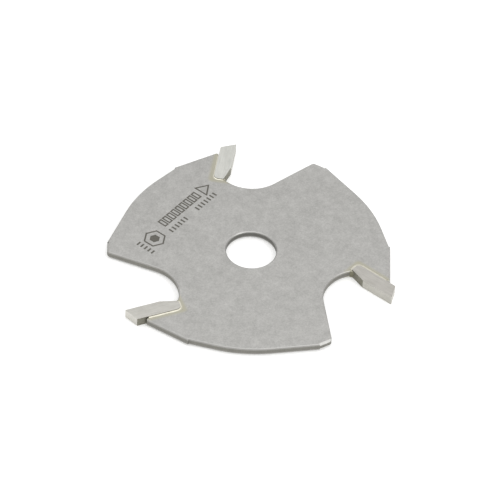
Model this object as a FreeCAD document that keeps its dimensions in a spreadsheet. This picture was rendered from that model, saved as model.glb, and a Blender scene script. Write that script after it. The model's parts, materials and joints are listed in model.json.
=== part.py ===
"""Three-wing slotting cutter: a flat steel body with a bore, three tungsten-carbide tips and their brazed joints.

Frame: +Z is the bore axis and leaves the marked face, +Y runs through the cutting corner of tip 1, and the
origin is the centre of the bore in the middle plane of the body. Seen from +Z the cutter turns clockwise, so
"behind" a tooth is anticlockwise. Millimetres and degrees.

Tooth frame: origin at a tooth's cutting corner, +Y outward along the rake face, -X through the tip to its back.
"""

import FreeCAD, Part

import math
import os

import Sketcher

DIMENSIONS = [
    # what the cutter is sold by
    ("cutting_diameter", 47.625, "across the cutting corners, 1-7/8 in"),
    ("kerf_width", 1.5875, "width of the slot it cuts, 1/16 in"),
    ("bore_diameter", 7.9375, "5/16 in arbor bore"),
    # body
    ("plate_thickness", 1.2, "body, thinner than the kerf"),
    ("edge_break", 0.18, "tumbled edges of the body's faces"),
    ("bore_chamfer", 0.12, "chamfer of the bore's edges"),
    # rim of a wing, from its trailing end to the tip
    ("land_drop", 1.27, "chip-limiting land, inside the cutting circle"),
    ("land_bevel", 0.3, "ground bevel along both edges of the land"),
    ("ramp_angle", 82.0, "how far behind the tooth the ramp reaches the land"),
    ("runout_lead", 10.0, "the land's cut ends this far in front of the next tooth"),
    ("rim_drop", 2.53, "milled-back middle of the rim, inside the cutting circle"),
    ("step_angle", 28.3, "how far behind the tooth the flat shoulder ends in a step"),
    ("step_foot", 0.4, "foot of the step, outside the rim's middle"),
    ("step_depth", 0.19, "step"),
    ("shoulder_start", 2.17, "where the shoulder meets the seat, inward of the cutting corner"),
    ("shoulder_corner_radius", 0.3, "rounded corner of shoulder and seat"),
    ("trailing_corner_radius", 0.8, "rounded corner of land and gullet wall"),
    # gullet
    ("gullet_radius", 5.88, "round floor"),
    ("gullet_entry_angle", 55.0, "arc's centre, seen from the seat's front edge"),
    ("gullet_wall_angle", 46.8, "straight wall, from a square to the rake face"),
    # carbide tip
    ("hook_angle", 14.5, "rake face, from the radius"),
    ("relief_angle", 10.0, "outer face, from the tangent"),
    ("tip_width", 2.4, "rake face to back"),
    ("tip_length", 8.35, "cutting corner to root"),
    ("bevel_length", 2.75, "bevel under the rake face, along the tip"),
    ("bevel_setback", 0.8, "bevel under the rake face, across the tip"),
    ("tip_corner_radius", 0.75, "rounded corner of root and back"),
    ("side_clearance", 1.0, "both sides taper towards the back"),
    # brazed joint
    ("braze_gap", 0.1, "filler between tip and seat"),
    ("braze_nose", 0.4, "filler in front of the tip's root"),
    ("rebate_width", 0.3, "step along the seat's edges that holds the bead of filler"),
    ("rebate_below_break", 0.02, "how much deeper that step is than the tumbled edges"),
    ("bead_height", 0.1, "bead above the body's face"),
    # how far cuts run out past the cutting circle
    ("overcut", 2.0, "run-out"),
]

TOOTH_COUNT = 3
UP = FreeCAD.Vector(0, 0, 1)
FINE = 0.001
ORIGIN_POINT = (-1, 1)
START, END, CENTRE = 1, 2, 3

doc = FreeCAD.newDocument("slotting_cutter")


# ---- dimensions ----

def make_sheet():
    """The spreadsheet of driving dimensions: name, value and note in each row."""
    sheet = doc.addObject("Spreadsheet::Sheet", "dims")
    for row, (alias, value, note) in enumerate(DIMENSIONS, start=1):
        sheet.set(f"A{row}", alias)
        sheet.set(f"B{row}", str(value))
        sheet.set(f"C{row}", note)
        sheet.setAlias(f"B{row}", alias)
    doc.recompute()
    return sheet


dims = make_sheet()


def evaluate(expression):
    """The number that an expression gives for the sheet's present values."""
    value = dims.evalExpression(expression)
    return getattr(value, "Value", value)


# Expressions that several sketches share
CUTTING_RADIUS = "(dims.cutting_diameter / 2)"
LAND_RADIUS = f"({CUTTING_RADIUS} - dims.land_drop)"
RIM_RADIUS = f"({CUTTING_RADIUS} - dims.rim_drop)"
STEP_RADIUS = f"({RIM_RADIUS} + dims.step_foot)"
SEAT_BACK = "(dims.tip_width + dims.braze_gap)"
SEAT_FLOOR = "(dims.tip_length + dims.braze_gap)"
SEAT_CORNER = "(dims.tip_corner_radius + dims.braze_gap)"
SEAT_FRONT = "(dims.bevel_setback - dims.braze_nose)"
# the shoulder's corner is sharper than a square one, so its rounding takes up more of the seat's edge
SEAT_TOP = "(dims.shoulder_start + 2.5 * dims.shoulder_corner_radius)"
BEAD_BACK = f"({SEAT_BACK} + dims.rebate_width)"
BEAD_FLOOR = f"({SEAT_FLOOR} + dims.rebate_width)"
BEAD_CORNER = f"({SEAT_CORNER} + dims.rebate_width)"
REBATE_DEPTH = "(dims.edge_break + dims.rebate_below_break)"
REBATE_LEVEL = f"(dims.plate_thickness / 2 - {REBATE_DEPTH})"


# ---- sketching ----

class Profile:
    """A sketch on one of a body's own planes, with every size tied to the sheet."""

    def __init__(self, body, name, plane_role="XY_Plane"):
        plane = origin_feature(body, plane_role)
        self.sketch = body.newObject("Sketcher::SketchObject", name)
        self.sketch.AttachmentSupport = [(plane, "")]
        self.sketch.MapMode = "FlatFace"

    def bind(self, label, expression, *constraint):
        """Adds a dimension and ties it to the sheet."""
        index = self.sketch.addConstraint(Sketcher.Constraint(*constraint, evaluate(expression)))
        self.sketch.renameConstraint(index, label)
        self.sketch.setExpression(f"Constraints.{label}", expression)

    def relate(self, *constraint):
        """Adds a geometric constraint."""
        self.sketch.addConstraint(Sketcher.Constraint(*constraint))

    def fix(self, label, geometry, point, across, up):
        """Ties one point to expressions for its two coordinates."""
        self.bind(f"{label}_x", across, "DistanceX", *ORIGIN_POINT, geometry, point)
        self.bind(f"{label}_y", up, "DistanceY", *ORIGIN_POINT, geometry, point)

    def line(self, start, end):
        """Adds a line between two points and returns its index."""
        return self.sketch.addGeometry(Part.LineSegment(start, end), False)

    def arc(self, centre, start, end):
        """Adds an anticlockwise arc round a centre and returns its index."""
        first = math.atan2(start.y - centre.y, start.x - centre.x)
        last = math.atan2(end.y - centre.y, end.x - centre.x)
        circle = Part.Circle(centre, UP, centre.distanceToPoint(start))
        return self.sketch.addGeometry(Part.ArcOfCircle(circle, first, last), False)

    def circle(self, radius):
        """Adds a circle round the sketch's origin."""
        index = self.sketch.addGeometry(Part.Circle(FreeCAD.Vector(), UP, evaluate(radius)), False)
        self.relate("Coincident", index, CENTRE, *ORIGIN_POINT)
        self.bind("radius", radius, "Radius", index)

    def polygon(self, corners):
        """Adds a closed run of lines through (label, across, up) corners, with rounded ones last.

        A corner may carry a radius as a fourth item. The lines are joined first and rounded after.
        """
        points = [FreeCAD.Vector(evaluate(corner[1]), evaluate(corner[2]), 0) for corner in corners]
        lines = [self.line(a, b) for a, b in zip(points, points[1:] + points[:1])]
        for line, following in zip(lines, lines[1:] + lines[:1]):
            self.relate("Coincident", line, END, following, START)
        for line, corner in zip(lines, corners):
            self.fix(corner[0], line, START, corner[1], corner[2])
        for index, corner in enumerate(corners):
            if len(corner) == 4:
                self.round_corner(lines[index - 1], lines[index], points, index, corner)

    def round_corner(self, before, after, points, index, corner):
        """Replaces one corner of a polygon by a tangent arc, and keeps the corner as a construction point."""
        previous, here, following = points[index - 1], points[index], points[(index + 1) % len(points)]
        arc = self.sketch.GeometryCount
        self.sketch.fillet(before, after, (previous + here) / 2, (here + following) / 2,
                           evaluate(corner[3]), True, True)
        self.bind(f"{corner[0]}_radius", corner[3], "Radius", arc)


def origin_feature(body, role):
    """A plane or axis of a body's own origin."""
    return next(feature for feature in body.Origin.OriginFeatures if feature.Role == role)


def add_body(name):
    """An empty body whose label is the name of its node."""
    body = doc.addObject("PartDesign::Body", name)
    body.Label = name
    return body


def extrude(body, kind, profile, name, length):
    """A pad or pocket of a profile, to both sides of its plane."""
    feature = body.newObject(f"PartDesign::{kind}", name)
    feature.Profile = profile.sketch
    feature.SideType = "Symmetric"
    feature.setExpression("Length", length)
    return feature


def to_tooth_frame(profile):
    """Puts a profile of the cutter into the frame of tooth 1."""
    profile.sketch.setExpression("AttachmentOffset.Base.y", CUTTING_RADIUS)
    profile.sketch.setExpression("AttachmentOffset.Rotation.Angle", "360 - dims.hook_angle")
    return profile


def put_on_tooth(body, index):
    """Puts a body that is drawn in the tooth frame onto one of the teeth."""
    turn = f"({index} * 360 / {TOOTH_COUNT})"
    body.setExpression("Placement.Base.x", f"-{CUTTING_RADIUS} * sin({turn})")
    body.setExpression("Placement.Base.y", f"{CUTTING_RADIUS} * cos({turn})")
    body.setExpression("Placement.Rotation.Angle", f"360 + {turn} - dims.hook_angle")


# ---- body plate ----

def rim_profile(body):
    """What is milled off the blank's edge: shoulder, step, concentric rim and the ramp up to the land."""
    profile = Profile(body, "rim_outline")
    hook = "dims.hook_angle"
    # the seat's back line in this frame, from the shoulder outward
    seat_x = f"(-{SEAT_BACK} * cos({hook}) - dims.shoulder_start * sin({hook}))"
    seat_y = f"({CUTTING_RADIUS} + {SEAT_BACK} * sin({hook}) - dims.shoulder_start * cos({hook}))"
    runout = "(dims.shoulder_start + dims.overcut)"
    corners = {
        "outside": (f"{seat_x} + {runout} * sin({hook})", f"{seat_y} + {runout} * cos({hook})"),
        "seat": (seat_x, seat_y),
        "shoulder_end": behind_tooth(f"({STEP_RADIUS} + dims.step_depth)", "dims.step_angle"),
        "step_foot": behind_tooth(STEP_RADIUS, "dims.step_angle"),
        "land": behind_tooth(LAND_RADIUS, "dims.ramp_angle"),
        "land_end": behind_tooth(LAND_RADIUS, f"(360 / {TOOTH_COUNT} - dims.runout_lead)"),
    }
    point = {label: FreeCAD.Vector(evaluate(x), evaluate(y), 0) for label, (x, y) in corners.items()}
    rim = evaluate(RIM_RADIUS)
    first = tangent_point(point["step_foot"], rim, 1)
    last = tangent_point(point["land"], rim, -1)
    beyond = point["land_end"] * (point["outside"].Length / point["land_end"].Length)

    entry = profile.line(point["outside"], point["seat"])
    shoulder = profile.line(point["seat"], point["shoulder_end"])
    step = profile.line(point["shoulder_end"], point["step_foot"])
    run_in = profile.line(point["step_foot"], first)
    middle = profile.arc(FreeCAD.Vector(), first, last)
    ramp = profile.line(last, point["land"])
    land = profile.arc(FreeCAD.Vector(), point["land"], point["land_end"])
    exit_cut = profile.line(point["land_end"], beyond)
    outer = profile.arc(FreeCAD.Vector(), point["outside"], beyond)

    for before, after in ((entry, shoulder), (shoulder, step), (step, run_in), (ramp, land), (land, exit_cut)):
        profile.relate("Coincident", before, END, after, START)
    for arc in (middle, land, outer):
        profile.relate("Coincident", arc, CENTRE, *ORIGIN_POINT)
    profile.relate("Tangent", run_in, END, middle, START)
    profile.relate("Tangent", middle, END, ramp, START)
    profile.relate("Coincident", exit_cut, END, outer, END)
    profile.relate("Coincident", entry, START, outer, START)
    profile.relate("PointOnObject", *ORIGIN_POINT, exit_cut)
    profile.bind("rim_radius", RIM_RADIUS, "Radius", middle)
    for label, line in zip(corners, (entry, shoulder, step, run_in)):
        profile.fix(label, line, START, *corners[label])
    profile.fix("land", land, START, *corners["land"])
    profile.bind("land_end", corners["land_end"][1], "DistanceY", *ORIGIN_POINT, land, END)
    return profile


def behind_tooth(radius, angle):
    """Expressions for a point at a radius and an angle behind tooth 1."""
    return f"-{radius} * sin({angle})", f"{radius} * cos({angle})"


def tangent_point(point, radius, side):
    """Where a line from a point touches the circle round the origin, anticlockwise of it for side 1."""
    turn = math.atan2(point.y, point.x) + side * math.acos(radius / point.Length)
    return FreeCAD.Vector(radius * math.cos(turn), radius * math.sin(turn), 0)


def seat_profile(body):
    """The tip's seat: a back and a floor, open to the rim and to the gullet."""
    profile = to_tooth_frame(Profile(body, "seat_outline"))
    profile.polygon([
        ("front", f"-{SEAT_FRONT}", f"-{SEAT_FLOOR}"),
        ("above_front", f"-{SEAT_FRONT}", "dims.overcut"),
        ("above_back", f"-{SEAT_BACK}", "dims.overcut"),
        ("corner", f"-{SEAT_BACK}", f"-{SEAT_FLOOR}", SEAT_CORNER),
    ])
    return profile


def gullet_profile(body):
    """The chip gullet: an arc from the seat's front edge that runs into a straight wall."""
    profile = to_tooth_frame(Profile(body, "gullet_outline"))
    radius, entry, wall = "dims.gullet_radius", "dims.gullet_entry_angle", "dims.gullet_wall_angle"
    front = (f"-{SEAT_FRONT}", f"-{SEAT_FLOOR}")
    centre = (f"{front[0]} + {radius} * cos({entry})", f"{front[1]} + {radius} * sin({entry})")
    above = (front[0], "dims.overcut")
    front_at, centre_at, above_at = (
        FreeCAD.Vector(evaluate(x), evaluate(y), 0) for x, y in (front, centre, above))
    slope = math.radians(evaluate(wall))
    foot_at = centre_at + FreeCAD.Vector(math.sin(slope), -math.cos(slope), 0) * evaluate(radius)
    rise = above_at.y - foot_at.y
    top_at = foot_at + FreeCAD.Vector(rise / math.tan(slope), rise, 0)

    floor = profile.arc(centre_at, front_at, foot_at)
    wall_line = profile.line(foot_at, top_at)
    lid = profile.line(top_at, above_at)
    side = profile.line(above_at, front_at)
    profile.relate("Tangent", floor, END, wall_line, START)
    profile.relate("Coincident", wall_line, END, lid, START)
    profile.relate("Coincident", lid, END, side, START)
    profile.relate("Coincident", side, END, floor, START)
    profile.relate("Horizontal", lid)
    profile.fix("front", floor, START, *front)
    profile.fix("centre", floor, CENTRE, *centre)
    profile.fix("above", side, START, *above)
    profile.bind("wall", f"{wall} * 1 deg", "Angle", wall_line)
    return profile


def bead_profile(body, name, side):
    """The strip along the seat that the bead of filler covers, at the bottom of its rebate."""
    profile = Profile(body, name)
    profile.sketch.setExpression("AttachmentOffset.Base.z", f"{side} * {REBATE_LEVEL}")
    profile.polygon([
        ("inner_top", "-dims.tip_width", f"-{SEAT_TOP}"),
        ("inner_corner", "-dims.tip_width", "-dims.tip_length", "dims.tip_corner_radius"),
        ("root_front", "-dims.bevel_setback", "-dims.tip_length"),
        ("bead_front", "-dims.bevel_setback", f"-{BEAD_FLOOR}"),
        ("outer_corner", f"-{BEAD_BACK}", f"-{BEAD_FLOOR}", BEAD_CORNER),
        ("outer_top", f"-{BEAD_BACK}", f"-{SEAT_TOP}"),
    ])
    return profile


def cut_rebate(body, name, side):
    """The rebate of one face: side 1 is the upper one, side -1 the lower one."""
    outline = to_tooth_frame(bead_profile(body, f"{name}_outline", side))
    rebate = body.newObject("PartDesign::Pocket", name)
    rebate.Profile = outline.sketch
    rebate.setExpression("Length", "dims.plate_thickness")
    rebate.Reversed = side > 0
    return rebate


def tooth_places(point):
    """A point's coordinates in the frame of every tooth."""
    hook = math.radians(evaluate("dims.hook_angle"))
    places = []
    for index in range(TOOTH_COUNT):
        turn = math.radians(index * 360 / TOOTH_COUNT)
        dx = point.x * math.cos(turn) + point.y * math.sin(turn)
        dy = point.y * math.cos(turn) - point.x * math.sin(turn) - evaluate(CUTTING_RADIUS)
        places.append((dx * math.cos(hook) - dy * math.sin(hook), dx * math.sin(hook) + dy * math.cos(hook)))
    return places


def edges_where(shape, wanted):
    """Names of a shape's edges that are wanted."""
    return [f"Edge{number}" for number, edge in enumerate(shape.Edges, start=1) if wanted(edge)]


def is_upright(edge):
    """Whether an edge runs along Z."""
    first, last = edge.Vertexes[0].Point, edge.Vertexes[-1].Point
    return abs(first.z - last.z) > FINE and math.hypot(first.x - last.x, first.y - last.y) < FINE


def is_trailing_corner(edge):
    """Whether an edge is where a wing's land meets the gullet wall."""
    point = edge.Vertexes[0].Point
    behind = math.degrees(math.atan2(-point.x, point.y)) % (360 / TOOTH_COUNT)
    on_land = abs(math.hypot(point.x, point.y) - evaluate(LAND_RADIUS)) < FINE
    return is_upright(edge) and on_land and behind > evaluate("dims.ramp_angle") + FINE


def is_shoulder_corner(edge):
    """Whether an edge is where a wing's shoulder meets the seat."""
    corner = (-evaluate(SEAT_BACK), -evaluate("dims.shoulder_start"))
    places = tooth_places(edge.Vertexes[0].Point)
    return is_upright(edge) and any(math.dist(place, corner) < FINE for place in places)


def bounds_face(edge):
    """Whether an edge lies in one of the body's two flat faces."""
    return abs(abs(edge.CenterOfMass.z) - evaluate("dims.plate_thickness") / 2) < FINE


def is_bore_edge(edge):
    """Whether an edge is one of the bore's two rims."""
    point = edge.Vertexes[0].Point
    return bounds_face(edge) and abs(math.hypot(point.x, point.y) - evaluate("dims.bore_diameter / 2")) < FINE


def is_rim_edge(edge):
    """Whether an edge bounds one of the flat faces and is part of neither a seat nor the bore."""
    if not bounds_face(edge) or is_bore_edge(edge):
        return False
    middle = edge.valueAt((edge.FirstParameter + edge.LastParameter) / 2)
    back, floor = evaluate(BEAD_BACK), evaluate(BEAD_FLOOR)
    front, top = evaluate(SEAT_FRONT), evaluate("dims.shoulder_start")
    return not any(
        -back - FINE < across < -front + FINE and -floor - FINE < up < -top
        for across, up in tooth_places(middle))


def dress(body, kind, name, base, wanted, size_name, size):
    """Rounds or chamfers the wanted edges of a body's last feature."""
    doc.recompute()
    feature = body.newObject(f"PartDesign::{kind}", name)
    feature.Base = (base, edges_where(base.Shape, wanted))
    feature.setExpression(size_name, size)
    return feature


def cut_land_bevel(body):
    """Grinds a bevel along both edges of the land, from the end of the ramp round to the gullet."""
    profile = Profile(body, "bevel_outline", "XZ_Plane")
    profile.sketch.AttachmentOffset = FreeCAD.Placement(
        FreeCAD.Vector(), FreeCAD.Rotation(FreeCAD.Vector(0, 1, 0), 90))
    profile.sketch.setExpression("AttachmentOffset.Rotation.Angle", "90 + dims.ramp_angle")
    inner, outer = f"({LAND_RADIUS} - dims.land_bevel)", f"({CUTTING_RADIUS} + dims.overcut)"
    for label, side in (("upper", ""), ("lower", "-")):
        face = f"{side}dims.plate_thickness / 2"
        drop = f"{side}(dims.plate_thickness / 2 - ({outer} - {inner}))"
        profile.polygon([
            (f"{label}_inner", inner, face),
            (f"{label}_outer", outer, face),
            (f"{label}_foot", outer, drop),
        ])
    groove = body.newObject("PartDesign::Groove", "land_bevel")
    groove.Profile = profile.sketch
    groove.ReferenceAxis = (profile.sketch, ["V_Axis"])
    groove.setExpression("Angle", f"360 / {TOOTH_COUNT} - dims.runout_lead - dims.ramp_angle")
    return groove


def repeat_round_bore(body, name, features):
    """Repeats features of one wing on every wing."""
    doc.recompute()
    pattern = body.newObject("PartDesign::PolarPattern", name)
    pattern.Originals = features
    pattern.Axis = (origin_feature(body, "Z_Axis"), [""])
    pattern.Angle = 360
    pattern.Occurrences = TOOTH_COUNT
    body.Tip = pattern
    doc.recompute()


def make_body_plate():
    """The steel body: three wings with gullets and tip seats round the arbor bore."""
    body = add_body("body_plate")
    blank_outline = Profile(body, "blank_outline")
    blank_outline.circle(CUTTING_RADIUS)
    extrude(body, "Pad", blank_outline, "blank", "dims.plate_thickness")

    through = "2 * dims.plate_thickness"
    cuts = [
        extrude(body, "Pocket", rim_profile(body), "rim_cut", through),
        extrude(body, "Pocket", seat_profile(body), "seat_cut", through),
        extrude(body, "Pocket", gullet_profile(body), "gullet_cut", through),
        cut_rebate(body, "upper_rebate", 1),
        cut_rebate(body, "lower_rebate", -1),
    ]
    repeat_round_bore(body, "wings", cuts)

    bore_outline = Profile(body, "bore_outline")
    bore_outline.circle("dims.bore_diameter / 2")
    bore = extrude(body, "Pocket", bore_outline, "bore", through)
    corners = dress(body, "Fillet", "trailing_corners", bore, is_trailing_corner,
                    "Radius", "dims.trailing_corner_radius")
    corners = dress(body, "Fillet", "shoulder_corners", corners, is_shoulder_corner,
                    "Radius", "dims.shoulder_corner_radius")
    chamfers = dress(body, "Chamfer", "bore_chamfers", corners, is_bore_edge, "Size", "dims.bore_chamfer")
    dress(body, "Fillet", "edge_breaks", chamfers, is_rim_edge, "Radius", "dims.edge_break")
    repeat_round_bore(body, "land_bevels", [cut_land_bevel(body)])
    return body


# ---- carbide tips ----

def make_tip(index):
    """One carbide tip, as wide as the kerf at its rake face and tapering towards its back."""
    body = add_body(f"carbide_tip_{index + 1}")
    profile = Profile(body, f"tip_outline_{index + 1}")
    profile.polygon([
        ("cutting_corner", "0", "0"),
        ("outer_back", "-dims.tip_width", "-dims.tip_width * tan(dims.hook_angle + dims.relief_angle)"),
        ("root_back", "-dims.tip_width", "-dims.tip_length", "dims.tip_corner_radius"),
        ("root_front", "-dims.bevel_setback", "-dims.tip_length"),
        ("rake_end", "0", "-(dims.tip_length - dims.bevel_length)"),
    ])
    blank = extrude(body, "Pad", profile, f"tip_blank_{index + 1}", "dims.kerf_width")
    doc.recompute()
    taper = body.newObject("PartDesign::Draft", f"side_clearance_{index + 1}")
    sides = [number for number, face in enumerate(blank.Shape.Faces, start=1)
             if abs(abs(face.normalAt(0, 0).z) - 1) < FINE]
    taper.Base = (blank, [f"Face{number}" for number in sides])
    taper.NeutralPlane = (origin_feature(body, "YZ_Plane"), [""])
    taper.setExpression("Angle", "dims.side_clearance * 1 deg")
    taper.Reversed = True
    put_on_tooth(body, index)
    return body


# ---- brazed joints ----

def make_seam(index):
    """The filler of one joint: a thin layer round the tip's back and root, with a bead along both faces."""
    body = add_body(f"braze_seam_{index + 1}")
    nose_x = "-dims.bevel_setback * (1 - dims.braze_nose / dims.bevel_length)"
    layer_outline = Profile(body, f"layer_outline_{index + 1}")
    layer_outline.polygon([
        ("inner_top", "-dims.tip_width", f"-{SEAT_TOP}"),
        ("inner_corner", "-dims.tip_width", "-dims.tip_length", "dims.tip_corner_radius"),
        ("root_front", "-dims.bevel_setback", "-dims.tip_length"),
        ("nose", nose_x, "-(dims.tip_length - dims.braze_nose)"),
        ("seat_front", f"-{SEAT_FRONT}", f"-{SEAT_FLOOR}"),
        ("outer_corner", f"-{SEAT_BACK}", f"-{SEAT_FLOOR}", SEAT_CORNER),
        ("outer_top", f"-{SEAT_BACK}", f"-{SEAT_TOP}"),
    ])
    extrude(body, "Pad", layer_outline, f"layer_{index + 1}", "dims.plate_thickness")

    bead = body.newObject("PartDesign::Pad", f"bead_{index + 1}")
    bead.Profile = bead_profile(body, f"bead_outline_{index + 1}", 1).sketch
    bead.setExpression("Length", f"{REBATE_DEPTH} + dims.bead_height")
    doc.recompute()
    mirrored = body.newObject("PartDesign::Mirrored", f"both_faces_{index + 1}")
    mirrored.Originals = [bead]
    mirrored.MirrorPlane = (origin_feature(body, "XY_Plane"), [""])
    body.Tip = mirrored
    put_on_tooth(body, index)
    return body


# ---- build, check and write ----

def find_faults(bodies):
    """What failed, as one line per fault."""
    faults = [f"{thing.Label}: {thing.State}" for thing in doc.Objects
              if "Invalid" in thing.State or "Error" in thing.State]
    faults += [f"{body.Label}: no valid shape" for body in bodies
               if body.Shape.isNull() or not body.Shape.isValid()]
    faults += [f"{body.Label}: {len(body.Shape.Solids)} solids" for body in bodies
               if len(body.Shape.Solids) != 1]
    return faults


def build():
    """Makes every sub-part and writes its STEP file."""
    bodies = [make_body_plate()]
    bodies += [make_tip(index) for index in range(TOOTH_COUNT)]
    bodies += [make_seam(index) for index in range(TOOTH_COUNT)]
    doc.recompute()
    faults = find_faults(bodies)
    if faults:
        raise RuntimeError("; ".join(faults))
    os.makedirs("parts", exist_ok=True)
    for body in bodies:
        body.Shape.exportStep(f"parts/{body.Label}.step")
        print(f"{body.Label}: {body.Shape.Volume:.3f} mm3")


build()
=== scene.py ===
"""A three-wing slotting cutter: a blasted steel body, three ground carbide tips held by silver solder,
and laser marks, lying on a pale table under a soft studio light. Metres; +Z is the cutter's axis."""

import json
import math

import bpy
from mathutils import Matrix, Quaternion, Vector, noise
from mathutils.bvhtree import BVHTree


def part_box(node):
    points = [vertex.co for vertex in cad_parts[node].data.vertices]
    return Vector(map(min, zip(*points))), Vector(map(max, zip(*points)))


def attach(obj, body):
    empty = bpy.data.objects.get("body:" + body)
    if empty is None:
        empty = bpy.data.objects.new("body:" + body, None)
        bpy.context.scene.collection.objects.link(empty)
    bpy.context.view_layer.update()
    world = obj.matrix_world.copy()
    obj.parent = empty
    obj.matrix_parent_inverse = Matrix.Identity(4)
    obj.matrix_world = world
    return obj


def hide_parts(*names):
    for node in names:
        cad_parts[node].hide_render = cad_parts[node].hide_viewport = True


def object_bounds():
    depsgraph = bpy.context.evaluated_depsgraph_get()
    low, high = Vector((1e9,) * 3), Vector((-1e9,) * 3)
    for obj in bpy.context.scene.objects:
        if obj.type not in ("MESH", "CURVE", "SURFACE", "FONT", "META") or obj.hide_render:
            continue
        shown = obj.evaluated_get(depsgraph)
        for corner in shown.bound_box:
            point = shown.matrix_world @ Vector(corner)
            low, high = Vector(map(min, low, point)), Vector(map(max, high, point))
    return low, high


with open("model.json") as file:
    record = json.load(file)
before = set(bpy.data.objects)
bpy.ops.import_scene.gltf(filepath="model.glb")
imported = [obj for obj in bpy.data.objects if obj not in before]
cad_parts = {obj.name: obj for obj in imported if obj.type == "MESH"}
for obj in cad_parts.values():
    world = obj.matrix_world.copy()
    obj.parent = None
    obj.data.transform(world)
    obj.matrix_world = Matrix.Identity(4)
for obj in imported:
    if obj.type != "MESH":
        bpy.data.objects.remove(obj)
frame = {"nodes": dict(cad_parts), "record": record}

cad_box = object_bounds()


# ---------------------------------------------------------------- body plate
# The cutter's body, a disc of tool steel 1.2 mm thick, laser-cut to shape, hardened and blasted matt.
# The blasting leaves a fine even grain on both faces. The cut walls are darker and streaked across; they are
# painted lighter towards both faces, painted light from the bright table and the lit edges, darkest at
# mid-height, and the bore's wall is painted darker, a painted shade in the hole. The tumbled edges are worn
# bright, and the heat of brazing has left a faint straw tint round each tip.

MM = 0.001
TOOTH_COUNT = 3
face_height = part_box("body_plate")[1].z
bore_radius = frame["record"]["mounts"][0]["dims"]["r_mm"] * MM


def srgb(text):
    """A hex colour as the linear colour that a shader takes."""
    channels = [int(text[i:i + 2], 16) / 255 for i in (0, 2, 4)]
    return [c / 12.92 if c <= 0.04045 else ((c + 0.055) / 1.055) ** 2.4 for c in channels] + [1.0]


def new_material(name):
    """An empty node material."""
    material = bpy.data.materials.new(name)
    material.use_nodes = True
    material.node_tree.nodes.clear()
    return material


def add_node(material, kind, settings=None, inputs=None, links=None):
    """Adds a shader node, sets its properties and sockets, and links its inputs to (node, output) pairs."""
    node = material.node_tree.nodes.new(kind)
    for name, value in (settings or {}).items():
        setattr(node, name, value)
    for name, value in (inputs or {}).items():
        node.inputs[name].default_value = value
    for name, (source, output) in (links or {}).items():
        material.node_tree.links.new(source.outputs[output], node.inputs[name])
    return node


# The sector that a point lies in is turned onto tooth 1, so one pattern serves all three teeth. A tip leans
# from the radius by the hook angle. The heat tint fades with the distance from a block about the tip's
# size, and so tall that height doesn't count.
pitch = math.tau / TOOTH_COUNT
tooth_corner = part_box("carbide_tip_1")[1].y
hook = math.radians(14.5)
tip_half_size = (1.25 * MM, 4.2 * MM, 1.0)
tint_start, tint_end = 0.2 * MM, 1.1 * MM

steel = new_material("blasted_tool_steel")
place = add_node(steel, "ShaderNodeTexCoord")
axes = add_node(steel, "ShaderNodeSeparateXYZ", None, None, {"Vector": (place, "Object")})
bearing = add_node(steel, "ShaderNodeMath", {"operation": "ARCTAN2"}, None,
                   {0: (axes, "X"), 1: (axes, "Y")})
lead = add_node(steel, "ShaderNodeMath", {"operation": "MULTIPLY_ADD"}, {1: 1 / pitch, 2: 0.0},
                {0: (bearing, 0)})
sector = add_node(steel, "ShaderNodeMath", {"operation": "ROUND"}, None, {0: (lead, 0)})
turn = add_node(steel, "ShaderNodeMath", {"operation": "MULTIPLY"}, {1: pitch}, {0: (sector, 0)})
folded = add_node(steel, "ShaderNodeVectorRotate", {"rotation_type": "Z_AXIS"}, None,
                  {"Vector": (place, "Object"), "Angle": (turn, 0)})
shifted = add_node(steel, "ShaderNodeMapping", None, {"Location": (0.0, -tooth_corner, 0.0)},
                   {"Vector": (folded, 0)})
on_tooth = add_node(steel, "ShaderNodeMapping", None,
                    {"Rotation": (0.0, 0.0, hook), "Location": (tip_half_size[0], tip_half_size[1], 0.0)},
                    {"Vector": (shifted, 0)})
spread = add_node(steel, "ShaderNodeVectorMath", {"operation": "ABSOLUTE"}, None, {0: (on_tooth, 0)})
outside = add_node(steel, "ShaderNodeVectorMath", {"operation": "SUBTRACT"}, {1: tip_half_size},
                   {0: (spread, 0)})
clear = add_node(steel, "ShaderNodeVectorMath", {"operation": "MAXIMUM"}, {1: (0, 0, 0)},
                 {0: (outside, 0)})
reach = add_node(steel, "ShaderNodeVectorMath", {"operation": "LENGTH"}, None, {0: (clear, 0)})
heat = add_node(steel, "ShaderNodeMapRange", {"interpolation_type": "SMOOTHERSTEP"},
                {"From Min": tint_start, "From Max": tint_end, "To Min": 1.0, "To Max": 0.0},
                {"Value": (reach, "Value")})

# blasting grit leaves pits about 0.06 mm across; the coarsest are drawn four times as wide, to show
grain_size, cloud_size = 0.26 * MM, 1.4 * MM
pit_depth = 0.02 * MM
grain = add_node(steel, "ShaderNodeTexNoise", None,
                 {"Scale": 1 / grain_size, "Detail": 6.0, "Roughness": 0.8},
                 {"Vector": (place, "Object")})
cloud = add_node(steel, "ShaderNodeTexNoise", None,
                 {"Scale": 1 / cloud_size, "Detail": 4.0, "Roughness": 0.6},
                 {"Vector": (place, "Object")})
mottle = add_node(steel, "ShaderNodeMath", {"operation": "MULTIPLY_ADD"}, {1: 2.0},
                  {0: (grain, "Fac"), 2: (cloud, "Fac")})
face_tone = add_node(steel, "ShaderNodeMapRange", None,
                     {"From Min": 1.0, "From Max": 2.0}, {"Value": (mottle, 0)})
face_colour = add_node(steel, "ShaderNodeMix", {"data_type": "RGBA"},
                       {"A": srgb("A9A8A5"), "B": srgb("CDCCC9")}, {"Factor": (face_tone, 0)})
tinted = add_node(steel, "ShaderNodeMix", {"data_type": "RGBA"}, {"B": srgb("BDBAA9")},
                  {"Factor": (heat, 0), "A": (face_colour, "Result")})

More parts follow.
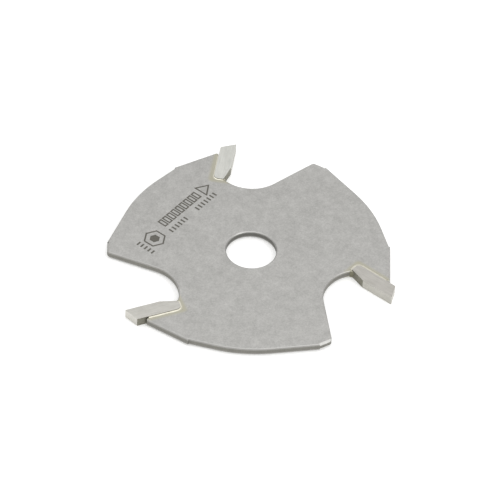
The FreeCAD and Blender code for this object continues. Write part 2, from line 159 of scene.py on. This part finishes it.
# how level the surface is: 0 on a cut wall, 1 on a face; the rounded edge between is worn bright
facing = add_node(steel, "ShaderNodeNewGeometry")
lean = add_node(steel, "ShaderNodeSeparateXYZ", None, None, {"Vector": (facing, "Normal")})
level = add_node(steel, "ShaderNodeMath", {"operation": "ABSOLUTE"}, None, {0: (lean, "Z")})
edge_wear = add_node(steel, "ShaderNodeValToRGB", None, None, {"Fac": (level, 0)})
ramp = edge_wear.color_ramp
ramp.elements[0].position, ramp.elements[0].color = 0.35, (0, 0, 0, 1)
ramp.elements[1].position, ramp.elements[1].color = 0.62, (1, 1, 1, 1)
for position, tone in ((0.9, 1.0), (0.995, 0.0)):
    stop = ramp.elements.new(position)
    stop.color = (tone, tone, tone, 1)
upright = add_node(steel, "ShaderNodeMapRange", None,
                   {"From Min": 0.3, "From Max": 0.6, "To Min": 1.0, "To Max": 0.0}, {"Value": (level, 0)})
from_middle = add_node(steel, "ShaderNodeMath", {"operation": "ABSOLUTE"}, None, {0: (axes, "Z")})
# painted light: the dark wall colour gives way towards both faces, so the walls are painted lighter there,
# as the bright table and the lit edges would light them; darkest at mid-height
painted_light_toward_faces = add_node(steel, "ShaderNodeMapRange", {"interpolation_type": "SMOOTHSTEP"},
                  {"From Min": 0.15 * MM, "From Max": face_height, "To Min": 1.0, "To Max": 0.25},
                  {"Value": (from_middle, 0)})
wall = add_node(steel, "ShaderNodeMath", {"operation": "MULTIPLY"}, None,
                {0: (upright, 0), 1: (painted_light_toward_faces, 0)})

# the cut leaves upright drag lines on the walls, about 0.12 mm apart
drag_pitch = 0.12 * MM
along_wall = add_node(steel, "ShaderNodeMapping", None, {"Scale": (1.0, 1.0, 0.08)},
                      {"Vector": (place, "Object")})
drag = add_node(steel, "ShaderNodeTexNoise", None, {"Scale": 1 / drag_pitch, "Detail": 2.0},
                {"Vector": (along_wall, 0)})
cut_colour = add_node(steel, "ShaderNodeMix", {"data_type": "RGBA"},
                      {"A": srgb("777670"), "B": srgb("918F8A")}, {"Factor": (drag, "Fac")})
# painted shade: the bore's wall is painted darker than the cut walls, as shade inside the hole
flat_place = add_node(steel, "ShaderNodeVectorMath", {"operation": "MULTIPLY"}, {1: (1.0, 1.0, 0.0)},
                      {0: (place, "Object")})
radius = add_node(steel, "ShaderNodeVectorMath", {"operation": "LENGTH"}, None, {0: (flat_place, 0)})
bore_painted_shade = add_node(steel, "ShaderNodeMapRange", None,
                 {"From Min": bore_radius + 0.1 * MM, "From Max": bore_radius + 0.5 * MM,
                  "To Min": 1.0, "To Max": 0.0}, {"Value": (radius, "Value")})
wall_colour = add_node(steel, "ShaderNodeMix", {"data_type": "RGBA"}, {"B": srgb("6B6A66")},
                       {"Factor": (bore_painted_shade, 0), "A": (cut_colour, "Result")})
worn = add_node(steel, "ShaderNodeMix", {"data_type": "RGBA"}, {"B": srgb("B9B8B5")},
                {"Factor": (edge_wear, "Color"), "A": (tinted, "Result")})
colour = add_node(steel, "ShaderNodeMix", {"data_type": "RGBA"}, None,
                  {"Factor": (wall, 0), "A": (worn, "Result"), "B": (wall_colour, "Result")})
gloss = add_node(steel, "ShaderNodeMapRange", None, {"To Min": 0.52, "To Max": 0.46},
                 {"Value": (edge_wear, "Color")})
pits = add_node(steel, "ShaderNodeBump", None, {"Strength": 0.5, "Distance": pit_depth},
                {"Height": (grain, "Fac")})
streaks = add_node(steel, "ShaderNodeBump", None, {"Strength": 0.5, "Distance": pit_depth},
                   {"Height": (drag, "Fac"), "Normal": (pits, "Normal")})
shader = add_node(steel, "ShaderNodeBsdfPrincipled", None, {"Metallic": 1.0},
                  {"Base Color": (colour, "Result"), "Roughness": (gloss, 0), "Normal": (streaks, "Normal")})
add_node(steel, "ShaderNodeOutputMaterial", None, None, {"Surface": (shader, "BSDF")})

merge_distance = 0.001 * MM


def solid_copy(node, name):
    """A new object with a CAD node's shape, its loose triangles merged."""
    piece = bpy.data.objects.new(name, frame["nodes"][node].data.copy())
    bpy.context.scene.collection.objects.link(piece)
    bpy.ops.object.select_all(action="DESELECT")
    piece.select_set(True)
    bpy.context.view_layer.objects.active = piece
    bpy.ops.mesh.customdata_custom_splitnormals_clear()
    bpy.ops.object.mode_set(mode="EDIT")
    bpy.ops.mesh.select_all(action="SELECT")
    bpy.ops.mesh.remove_doubles(threshold=merge_distance)
    bpy.ops.object.mode_set(mode="OBJECT")
    piece.data.materials.clear()
    return piece


def even_shading(piece):
    """Flat faces shade flat and the narrow roundings between them shade round."""
    evened = piece.modifiers.new("evened_normals", "WEIGHTED_NORMAL")
    evened.keep_sharp = True
    bpy.ops.object.modifier_apply(modifier=evened.name)


# the body is the same on both faces, so the lower half is the upper half mirrored
plate = solid_copy("body_plate", "blasted_body")
halves = plate.modifiers.new("same_on_both_faces", "MIRROR")
halves.use_axis = (False, False, True)
halves.use_bisect_axis = (False, False, True)
halves.bisect_threshold = merge_distance
halves.merge_threshold = merge_distance
bpy.ops.object.modifier_apply(modifier=halves.name)
bpy.ops.object.mode_set(mode="EDIT")
bpy.ops.mesh.select_all(action="SELECT")
bpy.ops.mesh.normals_make_consistent(inside=False)
bpy.ops.object.mode_set(mode="OBJECT")
bpy.ops.object.shade_smooth_by_angle(angle=math.radians(30))
even_shading(plate)
plate.data.materials.append(steel)
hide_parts("body_plate")
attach(plate, "root")


# ---------------------------------------------------------------- carbide tips
# Three tips of sintered tungsten carbide, ground on every working face after they are brazed in.
# The wheel leaves fine lines along the tip, and a hair of rounding where two ground faces meet.

def ground_carbide(name, turn, light, dark):
    """Ground carbide whose lines run along a tip that is turned about the cutter's axis."""
    carbide = new_material(name)
    place = add_node(carbide, "ShaderNodeTexCoord")
    turned = add_node(carbide, "ShaderNodeVectorRotate", {"rotation_type": "Z_AXIS"},
                      {"Angle": hook - turn}, {"Vector": (place, "Object")})
    # wheel marks are about 0.01 mm apart; they are drawn at 0.09 mm, so that they show
    line_pitch = 0.09 * MM
    drawn_out = add_node(carbide, "ShaderNodeMapping", None, {"Scale": (1.0, 0.03, 1.0)},
                         {"Vector": (turned, 0)})
    marks = add_node(carbide, "ShaderNodeTexNoise", None,
                     {"Scale": 1 / line_pitch, "Detail": 4.0, "Roughness": 0.7},
                     {"Vector": (drawn_out, 0)})
    cloud = add_node(carbide, "ShaderNodeTexNoise", None, {"Scale": 1 / (1.2 * MM), "Detail": 2.0},
                     {"Vector": (place, "Object")})
    faint_cloud = add_node(carbide, "ShaderNodeMath", {"operation": "MULTIPLY"}, {1: 0.4},
                           {0: (cloud, "Fac")})
    tone = add_node(carbide, "ShaderNodeMath", {"operation": "ADD"}, None,
                    {0: (marks, "Fac"), 1: (faint_cloud, 0)})
    spread = add_node(carbide, "ShaderNodeMapRange", None, {"From Min": 0.5, "From Max": 0.9},
                      {"Value": (tone, 0)})
    colour = add_node(carbide, "ShaderNodeMix", {"data_type": "RGBA"}, {"A": srgb(dark), "B": srgb(light)},
                      {"Factor": (spread, 0)})
    gloss = add_node(carbide, "ShaderNodeMapRange", None, {"To Min": 0.34, "To Max": 0.46},
                     {"Value": (marks, "Fac")})
    lines = add_node(carbide, "ShaderNodeBump", None, {"Strength": 0.6, "Distance": 0.01 * MM},
                     {"Height": (marks, "Fac")})
    shader = add_node(carbide, "ShaderNodeBsdfPrincipled", None, {"Metallic": 1.0},
                      {"Base Color": (colour, "Result"), "Roughness": (gloss, 0),
                       "Normal": (lines, "Normal")})
    add_node(carbide, "ShaderNodeOutputMaterial", None, None, {"Surface": (shader, "BSDF")})
    return carbide


# the back and the root keep the dark skin of the sintering furnace, stained by brazing flux
sintered_carbide = new_material("sintered_carbide_skin")
place = add_node(sintered_carbide, "ShaderNodeTexCoord")
stain = add_node(sintered_carbide, "ShaderNodeTexNoise", None, {"Scale": 1 / (0.4 * MM), "Detail": 4.0},
                 {"Vector": (place, "Object")})
colour = add_node(sintered_carbide, "ShaderNodeMix", {"data_type": "RGBA"},
                  {"A": srgb("78766A"), "B": srgb("99978C")}, {"Factor": (stain, "Fac")})
skin = add_node(sintered_carbide, "ShaderNodeBump", None, {"Strength": 0.4, "Distance": 0.01 * MM},
                {"Height": (stain, "Fac")})
shader = add_node(sintered_carbide, "ShaderNodeBsdfPrincipled", None, {"Metallic": 1.0, "Roughness": 0.6},
                  {"Base Color": (colour, "Result"), "Normal": (skin, "Normal")})
add_node(sintered_carbide, "ShaderNodeOutputMaterial", None, None, {"Surface": (shader, "BSDF")})

# light and dark tone of tips 1, 2 and 3, each set for how the wheel's lines catch the light there
ground_tones = (("E7E7E1", "D5D5CF"), ("D3D1CB", "BFBDB6"), ("D0CDC7", "BAB7B0"))
lapped_tones = ("C1BFB8", "AFADA6")
edge_rounding = 0.03 * MM
ground_length = 5.8 * MM

tips = []
for index, tones in enumerate(ground_tones):
    tip = solid_copy(f"carbide_tip_{index + 1}", f"ground_tip_{index + 1}")
    bpy.ops.object.mode_set(mode="EDIT")
    bpy.ops.mesh.select_all(action="SELECT")
    bpy.ops.mesh.dissolve_limited(angle_limit=math.radians(0.5))
    bpy.ops.object.mode_set(mode="OBJECT")
    hair = tip.modifiers.new("hair_of_rounding", "BEVEL")
    hair.width = edge_rounding
    hair.segments = 2
    hair.limit_method = "ANGLE"
    hair.angle_limit = math.radians(25)
    bpy.ops.object.modifier_apply(modifier=hair.name)
    bpy.ops.object.shade_smooth()
    even_shading(tip)
    tip.data.materials.append(ground_carbide(f"ground_carbide_{index + 1}", index * pitch, *tones))
    tip.data.materials.append(
        ground_carbide(f"lapped_carbide_{index + 1}", index * pitch, *lapped_tones))
    tip.data.materials.append(sintered_carbide)
    # the back wall and the root stay sintered, the rake face in front is lapped, the rest is ground
    to_world = Matrix.Rotation(index * pitch - hook, 3, "Z")
    across, along = to_world @ Vector((1.0, 0.0, 0.0)), to_world @ Vector((0.0, 1.0, 0.0))
    outer_end = max(vertex.co.dot(along) for vertex in tip.data.vertices)
    for face in tip.data.polygons:
        is_wall = abs(face.normal.z) < 0.5
        is_root = outer_end - face.center.dot(along) > ground_length
        if is_wall and (is_root or face.normal.dot(across) < -0.5):
            face.material_index = 2
        elif is_wall and face.normal.dot(across) > 0.9:
            face.material_index = 1
    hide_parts(f"carbide_tip_{index + 1}")
    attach(tip, "root")
    tips.append(tip)


# ---------------------------------------------------------------- soldered seams
# Silver solder holds each tip. It has run through the joint and set as a pale, slightly uneven fillet that
# climbs the tip's wall and feathers out over the body, bright where it froze smooth.

solder = new_material("silver_solder")
place = add_node(solder, "ShaderNodeTexCoord")
ripple = add_node(solder, "ShaderNodeTexNoise", None, {"Scale": 1 / (0.5 * MM), "Detail": 3.0},
                  {"Vector": (place, "Object")})
bright = add_node(solder, "ShaderNodeMix", {"data_type": "RGBA"},
                  {"A": srgb("E3DFCC"), "B": srgb("F0EDE2")}, {"Factor": (ripple, "Fac")})
place_axes = add_node(solder, "ShaderNodeSeparateXYZ", None, None, {"Vector": (place, "Object")})
from_middle = add_node(solder, "ShaderNodeMath", {"operation": "ABSOLUTE"}, None, {0: (place_axes, "Z")})
feathered = add_node(solder, "ShaderNodeMapRange", None,
                     {"From Min": face_height + 0.006 * MM, "From Max": face_height + 0.03 * MM},
                     {"Value": (from_middle, 0)})
surface = add_node(solder, "ShaderNodeMix", {"data_type": "RGBA"}, {"A": srgb("C3C0B0")},
                   {"Factor": (feathered, 0), "B": (bright, "Result")})
facing = add_node(solder, "ShaderNodeNewGeometry")
lean = add_node(solder, "ShaderNodeSeparateXYZ", None, None, {"Vector": (facing, "Normal")})
level = add_node(solder, "ShaderNodeMath", {"operation": "ABSOLUTE"}, None, {0: (lean, "Z")})
# painted shade: the solder's steep sides are painted dark
wall = add_node(solder, "ShaderNodeMapRange", None,
                {"From Min": 0.3, "From Max": 0.6, "To Min": 1.0, "To Max": 0.0}, {"Value": (level, 0)})
colour = add_node(solder, "ShaderNodeMix", {"data_type": "RGBA"}, {"B": srgb("7D7A69")},
                  {"Factor": (wall, 0), "A": (surface, "Result")})
gloss = add_node(solder, "ShaderNodeMapRange", None, {"To Min": 0.35, "To Max": 0.5},
                 {"Value": (ripple, "Fac")})
swell = add_node(solder, "ShaderNodeBump", None, {"Strength": 0.3, "Distance": 0.02 * MM},
                 {"Height": (ripple, "Fac")})
shader = add_node(solder, "ShaderNodeBsdfPrincipled", None, {"Metallic": 1.0},
                  {"Base Color": (colour, "Result"), "Roughness": (gloss, 0), "Normal": (swell, "Normal")})
add_node(solder, "ShaderNodeOutputMaterial", None, None, {"Surface": (shader, "BSDF")})

# no two fillets are alike: their widths and heights on tips 1, 2 and 3
fillet_sizes = ((0.2 * MM, 0.05 * MM), (0.3 * MM, 0.045 * MM), (0.42 * MM, 0.06 * MM))
feather_height = 0.004 * MM
long_ripple, short_ripple = 0.9 * MM, 0.25 * MM
remesh_size = 0.03 * MM

for index, (tip, (fillet_width, fillet_height)) in enumerate(zip(tips, fillet_sizes)):
    seam = solid_copy(f"braze_seam_{index + 1}", f"solder_seam_{index + 1}")
    seam.data.remesh_voxel_size = remesh_size
    bpy.ops.object.voxel_remesh()
    wall_of_tip = BVHTree.FromObject(tip, bpy.context.evaluated_depsgraph_get())
    bead_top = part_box(f"braze_seam_{index + 1}")[1].z
    for vertex in seam.data.vertices:
        share = (abs(vertex.co.z) - face_height) / (bead_top - face_height)
        if share <= 0:
            continue
        gap = wall_of_tip.find_nearest(Vector((vertex.co.x, vertex.co.y, 0.0)))[3]
        waver = (1 + 0.3 * noise.noise(vertex.co / long_ripple)
                 + 0.12 * noise.noise(vertex.co / short_ripple))
        rise = max(0.0, 1 - (gap / (fillet_width * waver)) ** 2)
        height = feather_height + fillet_height * waver * rise
        vertex.co.z = math.copysign(face_height + share * height, vertex.co.z)
    seam.data.materials.append(solder)
    bpy.ops.object.shade_smooth_by_angle(angle=math.radians(40))
    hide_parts(f"braze_seam_{index + 1}")
    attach(seam, "root")


# ---------------------------------------------------------------- laser marks
# The maker's marks, burnt into the upper face by a laser: an arrow for the way the cutter turns, a plain
# hexagon and rows of plain ticks. The beam leaves a thin dark oxide, flush with the steel to the touch.

oxide_height = 0.004 * MM
oxide_depth = 0.001 * MM
line_width = 0.25 * MM
marking_centre = (-9.47 * MM, 10.62 * MM, 0.0)
marking_turn = math.radians(45.5)


def burn(name, corners, size, at, turn=0.0, outlined=True):
    """A flat shape with the given number of corners, burnt solid or as an outline."""
    bpy.ops.object.select_all(action="DESELECT")
    if corners == 4:
        bpy.ops.mesh.primitive_plane_add(size=1.0)
    else:
        bpy.ops.mesh.primitive_circle_add(vertices=corners, radius=0.5, fill_type="NGON")
    mark = bpy.context.object
    mark.name = name
    mark.scale = (size[0], size[1], 1.0)
    mark.rotation_euler = (0.0, 0.0, turn)
    mark.location = (at[0], at[1], face_height - oxide_depth)
    bpy.ops.object.transform_apply()
    bpy.ops.object.mode_set(mode="EDIT")
    bpy.ops.mesh.select_all(action="SELECT")
    if outlined:
        bpy.ops.mesh.inset(thickness=line_width)
        bpy.ops.mesh.delete(type="FACE")
        bpy.ops.mesh.select_all(action="SELECT")
    bpy.ops.mesh.extrude_region_move(
        TRANSFORM_OT_translate={"value": (0.0, 0.0, oxide_height + oxide_depth)})
    bpy.ops.mesh.select_all(action="SELECT")
    bpy.ops.mesh.normals_make_consistent(inside=False)
    bpy.ops.object.mode_set(mode="OBJECT")
    return mark


def row_of(mark, count, step):
    """A mark and its copies, each one step further on."""
    row = [mark]
    for number in range(1, count):
        twin = bpy.data.objects.new(f"{mark.name}_{number}", mark.data.copy())
        twin.data.transform(Matrix.Translation(Vector(step) * number))
        bpy.context.scene.collection.objects.link(twin)
        row.append(twin)
    return row


def join_marks(name, marks):
    """One piece from several marks, turned and moved from the marking's own axes to its place."""
    bpy.ops.object.select_all(action="DESELECT")
    for mark in marks:
        mark.select_set(True)
    bpy.context.view_layer.objects.active = marks[0]
    bpy.ops.object.join()
    piece = bpy.context.object
    piece.name = name
    piece.rotation_euler = (0.0, 0.0, marking_turn)
    piece.location = marking_centre
    bpy.ops.object.transform_apply()
    piece.data.materials.append(laser_oxide)
    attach(piece, "root")


# a thin brown-grey oxide, uneven from pulse to pulse of the beam, a little less shiny than the steel
laser_oxide = new_material("laser_oxide_on_steel")
place = add_node(laser_oxide, "ShaderNodeTexCoord")
pulses = add_node(laser_oxide, "ShaderNodeTexNoise", None, {"Scale": 1 / (0.25 * MM), "Detail": 3.0},
                  {"Vector": (place, "Object")})
colour = add_node(laser_oxide, "ShaderNodeMix", {"data_type": "RGBA"},
                  {"A": srgb("5C5A54"), "B": srgb("7F7D76")}, {"Factor": (pulses, "Fac")})
gloss = add_node(laser_oxide, "ShaderNodeMapRange", None, {"To Min": 0.5, "To Max": 0.7},
                 {"Value": (pulses, "Fac")})
shader = add_node(laser_oxide, "ShaderNodeBsdfPrincipled", None, {"Metallic": 0.8},
                  {"Base Color": (colour, "Result"), "Roughness": (gloss, 0)})
add_node(laser_oxide, "ShaderNodeOutputMaterial", None, None, {"Surface": (shader, "BSDF")})

block_pitch = 1.02 * MM
shaft = row_of(burn("shaft_block", 4, (0.86 * MM, 1.7 * MM), (-5.4 * MM, 0.0)),
               9, (block_pitch, 0.0, 0.0))
arrowhead = burn("arrowhead", 3, (3.2 * MM, 3.0 * MM), (4.6 * MM, 0.0), math.radians(-90))
join_marks("laser_arrow", shaft + [arrowhead])

hexagon_centre = (-8.93 * MM, -1.21 * MM)
hexagon = burn("hexagon", 6, (3.7 * MM, 3.7 * MM), hexagon_centre)
core = burn("hexagon_core", 6, (1.7 * MM, 1.7 * MM), hexagon_centre, outlined=False)
join_marks("laser_hexagon", [hexagon, core])

tick_pitch = 0.72 * MM
upright_tick = (0.3 * MM, 0.9 * MM)
lower_row = row_of(burn("lower_tick", 4, upright_tick, (-5.9 * MM, -2.05 * MM), outlined=False),
                   6, (tick_pitch, 0.0, 0.0))
upper_row = row_of(burn("upper_tick", 4, upright_tick, (0.6 * MM, -2.0 * MM), outlined=False),
                   7, (tick_pitch, 0.0, 0.0))
end_row = row_of(burn("end_tick", 4, (0.8 * MM, 0.3 * MM), (-11.4 * MM, -2.9 * MM), outlined=False),
                 5, (0.0, tick_pitch, 0.0))
join_marks("laser_ticks", lower_row + upper_row + end_row)


# ---------------------------------------------------------------- table
# A plain light table of opal acrylic, matt white and lit a little from below, so that the cutter throws
# only a faint shadow close to its edge.

bpy.ops.object.select_all(action="DESELECT")
bpy.ops.mesh.primitive_plane_add(size=3.0, location=(0, 0, cad_box[0][2]))
table = bpy.context.object
table.name = "table_top"
bpy.ops.object.transform_apply(location=True)
opal = new_material("lit_opal_acrylic")
shader = add_node(opal, "ShaderNodeBsdfPrincipled", None, {
    "Base Color": srgb("F6F6F5"), "Roughness": 0.9,
    "Emission Color": srgb("FFFFFF"), "Emission Strength": 0.25})
add_node(opal, "ShaderNodeOutputMaterial", None, None, {"Surface": (shader, "BSDF")})
table.data.materials.append(opal)


# ---------------------------------------------------------------- light and camera
# A soft tent of light, a wide soft box overhead and a smaller one low on the right, which catches the
# bevels.

world = bpy.data.worlds.new("light_tent")
bpy.context.scene.world = world
world.use_nodes = True
world.node_tree.nodes["Background"].inputs["Color"].default_value = srgb("FFFFFF")
world.node_tree.nodes["Background"].inputs["Strength"].default_value = 0.6
bpy.context.scene.view_settings.view_transform = "Standard"


def soft_box(name, size, power, bearing, height, distance):
    """A square lamp facing the cutter; bearing (from +X, anticlockwise) and height are in degrees."""
    data = bpy.data.lights.new(name, "AREA")
    data.size = size
    data.energy = power
    lamp = bpy.data.objects.new(name, data)
    bpy.context.scene.collection.objects.link(lamp)
    bearing, height = math.radians(bearing), math.radians(height)
    away = Vector((math.cos(bearing) * math.cos(height), math.sin(bearing) * math.cos(height),
                   math.sin(height)))
    lamp.location = away * distance
    lamp.rotation_mode = "QUATERNION"
    lamp.rotation_quaternion = away.to_track_quat("Z", "Y")


soft_box("overhead_box", 1.2, 4.25, 0, 90, 0.8)
soft_box("right_box", 0.2, 0.6, -42, 38, 0.6)

camera_data = bpy.data.cameras.new("camera")
camera_data.lens = 235.08
camera_data.sensor_width = 36.0
camera_data.clip_end = 10.0
camera = bpy.data.objects.new("camera", camera_data)
bpy.context.scene.collection.objects.link(camera)
bpy.context.scene.camera = camera
camera_distance = 0.51069
elevation, azimuth, roll = math.radians(45.257), math.radians(-7.97), math.radians(3.115)
aim = Vector((-0.000196, -0.000066, face_height))
back = Vector((math.sin(azimuth) * math.cos(elevation), -math.cos(azimuth) * math.cos(elevation),
               math.sin(elevation)))
camera.location = aim + camera_distance * back
camera.rotation_mode = "QUATERNION"
camera.rotation_quaternion = back.to_track_quat("Z", "Y") @ Quaternion((0, 0, 1), roll)
